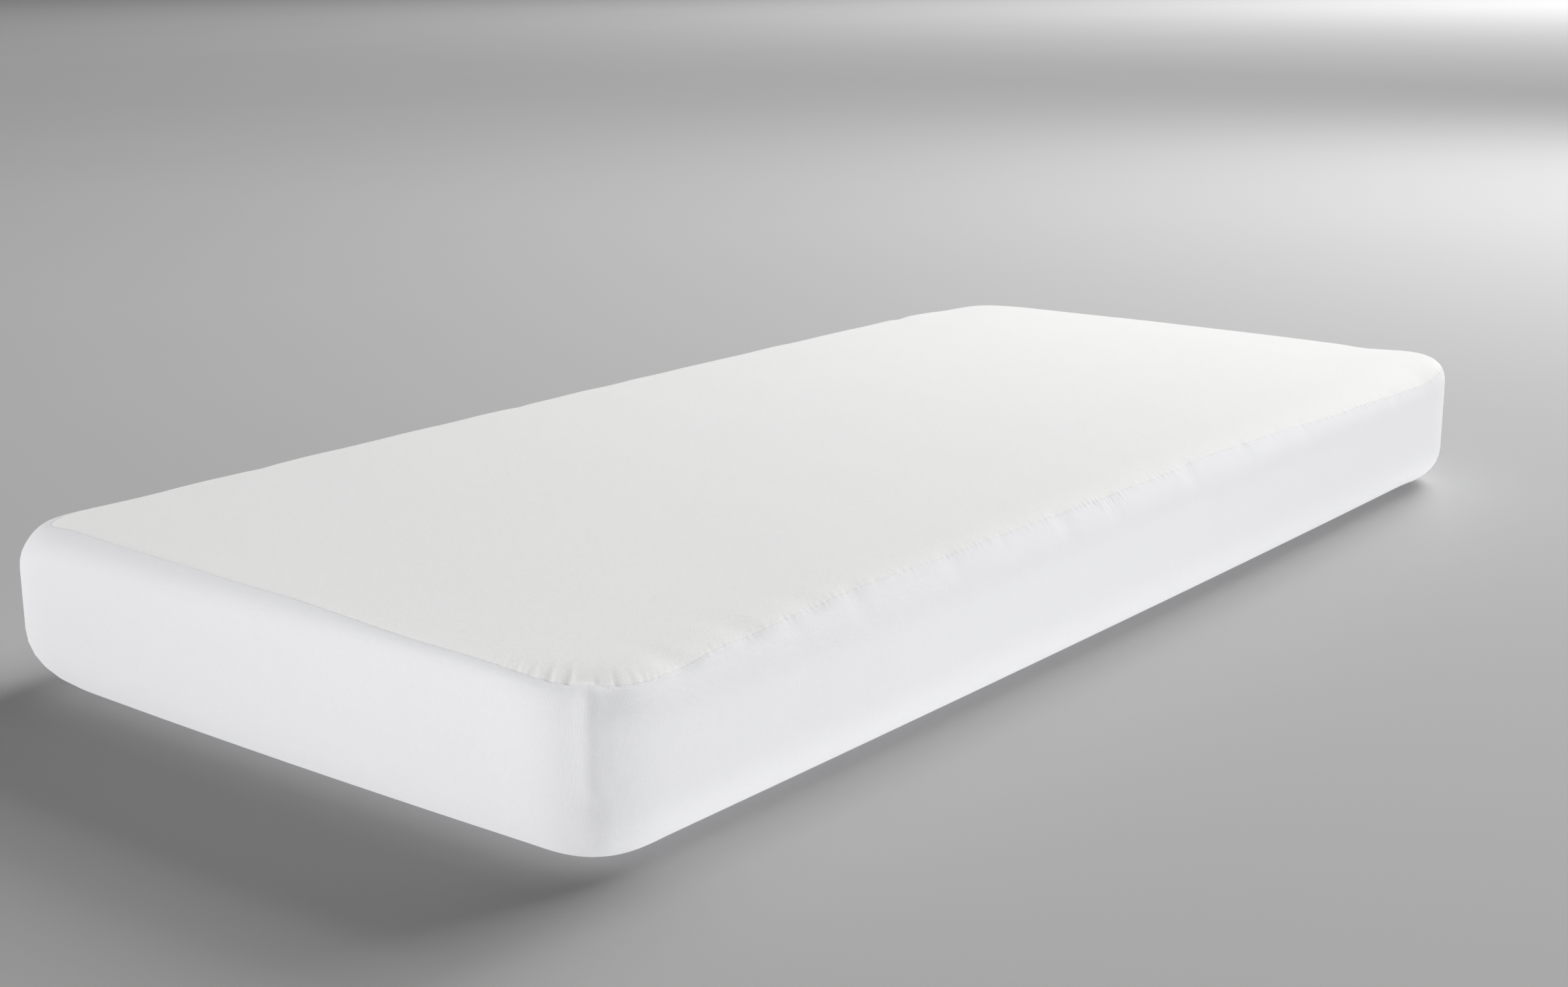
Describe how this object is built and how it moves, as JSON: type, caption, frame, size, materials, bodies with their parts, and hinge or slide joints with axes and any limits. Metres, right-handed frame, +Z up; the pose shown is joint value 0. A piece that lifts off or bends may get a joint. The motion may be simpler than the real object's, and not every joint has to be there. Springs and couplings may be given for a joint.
{
  "type": "waterproof mattress protector on a single mattress",
  "caption": "Fitted waterproof mattress protector on a plain mattress: a matte top panel seamed on the crest to a stretch skirt that rounds in under the mattress and ends in a turned hem.",
  "frame": {"origin": "middle of the base, on the surface that the mattress lies on", "axes": "+Z up, out of the lying face; +Y along the long sides; +X across, to the right when looking along +Y"},
  "size_m": [0.9109, 1.899, 0.1915],
  "materials": {
    "panel_cloth": "matte white absorbent cloth with a fine grain, backed with a waterproof film",
    "skirt_jersey": "smooth cool white stretch jersey with a faint sheen",
    "mattress_ticking": "plain off-white woven ticking, matte"
  },
  "bodies": {
    "root": {"top_panel": "panel_cloth", "skirt": "skirt_jersey", "mattress": "mattress_ticking"}
  },
  "joints": []
}
